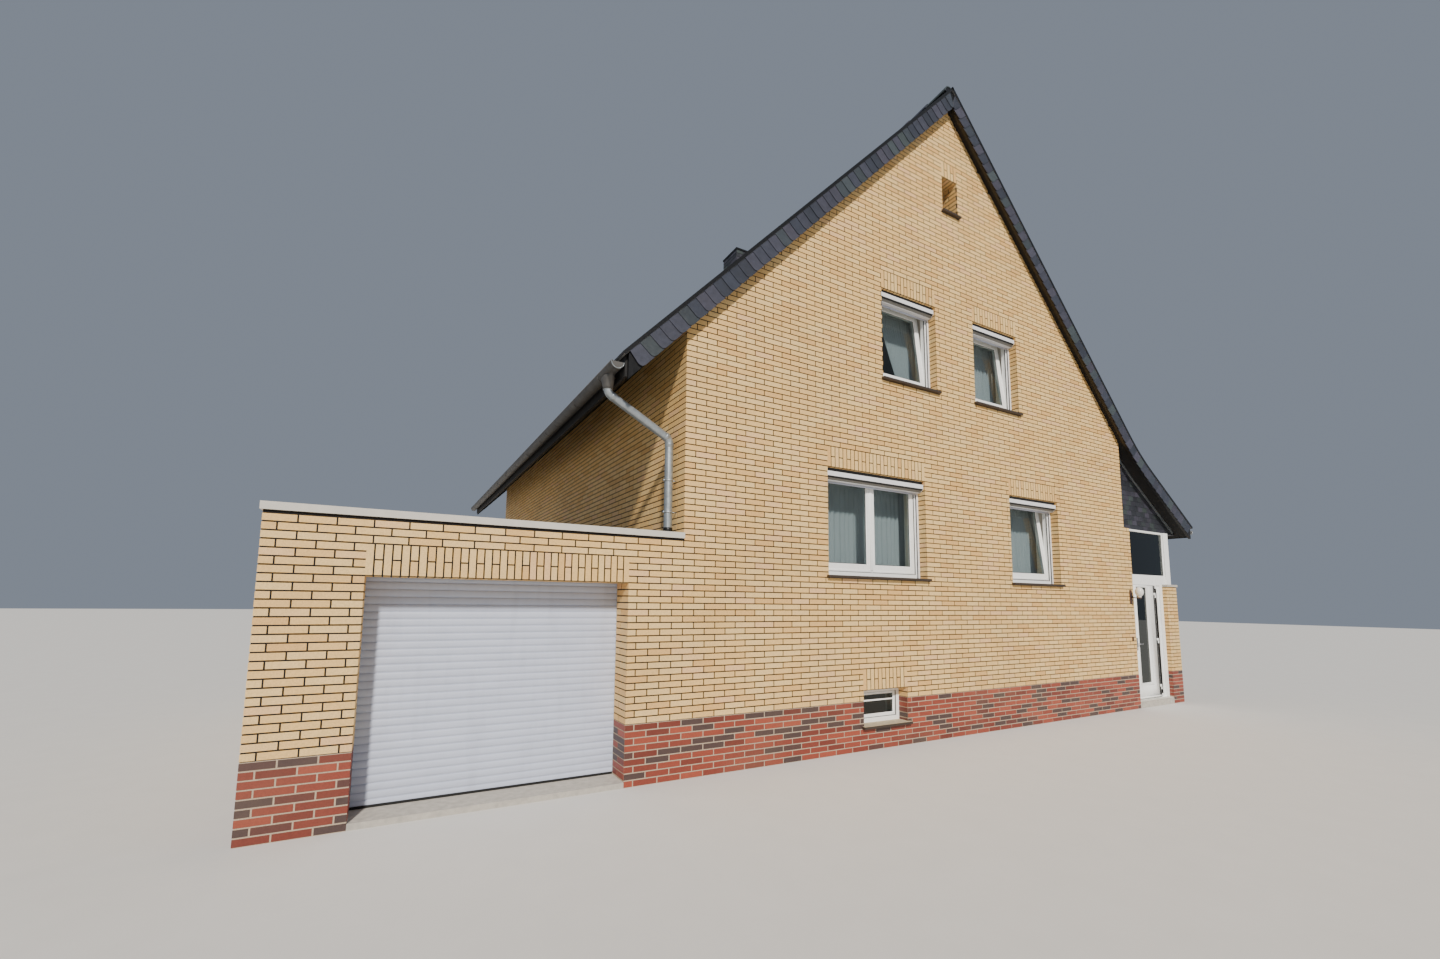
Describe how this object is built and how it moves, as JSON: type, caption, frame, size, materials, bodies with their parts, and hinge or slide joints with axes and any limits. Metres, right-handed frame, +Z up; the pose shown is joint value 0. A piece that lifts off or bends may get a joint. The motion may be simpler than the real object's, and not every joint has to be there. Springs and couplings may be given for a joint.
{
  "type": "detached house",
  "caption": "Gabled brick house with a steep slate-edged roof, a flat-roofed garage at one side and a glazed entrance porch under a flared eave at the other.",
  "frame": {"origin": "centre of the box's footprint, at the lowest ground line", "axes": "+X to the right along the street gable, +Y from the street gable into the depth, +Z up"},
  "size_m": [14.6542, 10.83, 9.6599],
  "materials": {
    "clinker_brick": "buff clinker slips with dark grey joints",
    "red_clinker": "red-brown clinker slips with light joints",
    "concrete": "plain concrete",
    "dark_timber": "dark stained boards",
    "roof_tile": "small dark roof slates in double lap",
    "slate": "small dark slates",
    "zinc": "weathered zinc sheet",
    "chimney_slab": "weathered concrete",
    "white_pvc": "satin white window profile",
    "window_glass": "clear insulating glass",
    "sill_stone": "dark thin stone",
    "aluminium": "light grey coated aluminium",
    "net_curtain": "white net",
    "lamp": "opal globe on a brown bracket"
  },
  "bodies": {
    "house": {"front_wall_piers": "clinker_brick", "front_wall_bands": "clinker_brick", "back_wall_piers": "clinker_brick", "back_wall_bands": "clinker_brick", "left_wall": "clinker_brick", "right_wall": "clinker_brick", "front_plinth": "red_clinker", "back_plinth": "red_clinker", "side_plinths": "red_clinker", "ground_floor": "concrete", "upper_floor": "concrete", "attic_floor": "concrete", "roof_deck_left": "dark_timber", "roof_deck_right": "dark_timber", "roof_tiles_left": "roof_tile", "roof_tiles_right": "roof_tile", "ridge_tiles": "roof_tile", "verge_boards": "slate", "fascias": "dark_timber", "gutters": "zinc", "gutter_brackets": "zinc", "downpipes": "zinc", "chimney": "slate", "chimney_cap": "chimney_slab", "porch_jamb_wall": "clinker_brick", "porch_parapet": "clinker_brick", "parapet_coping": "concrete", "aisle_side_wall": "clinker_brick", "aisle_back_wall": "clinker_brick", "aisle_plinth": "red_clinker", "aisle_floor": "concrete", "slate_gables": "slate", "porch_beam": "white_pvc", "porch_frames": "white_pvc", "porch_glass": "window_glass", "door_frame": "white_pvc", "wall_lamp": "lamp", "garage_front_wall": "clinker_brick", "garage_side_wall": "clinker_brick", "garage_back_wall": "clinker_brick", "garage_plinth": "red_clinker", "garage_floor": "concrete", "garage_roof": "concrete", "garage_roof_trim": "aluminium", "garage_door": "aluminium", "garage_door_rails": "aluminium", "window_frames": "white_pvc", "window_sashes": "white_pvc", "window_glass": "window_glass", "window_sills": "sill_stone", "shutters": "aluminium", "attic_panels": "dark_timber", "net_curtains": "net_curtain"},
    "door": {"front_door": "white_pvc", "door_pane": "window_glass", "door_handle": "aluminium"}
  },
  "joints": [
    {"name": "entrance_door_hinge", "type": "hinge", "parent": "house", "child": "door", "pos_m": [5.98535, -5.162, 1], "axis": [0, 0, 1], "range_deg": [0, 95]}
  ]
}
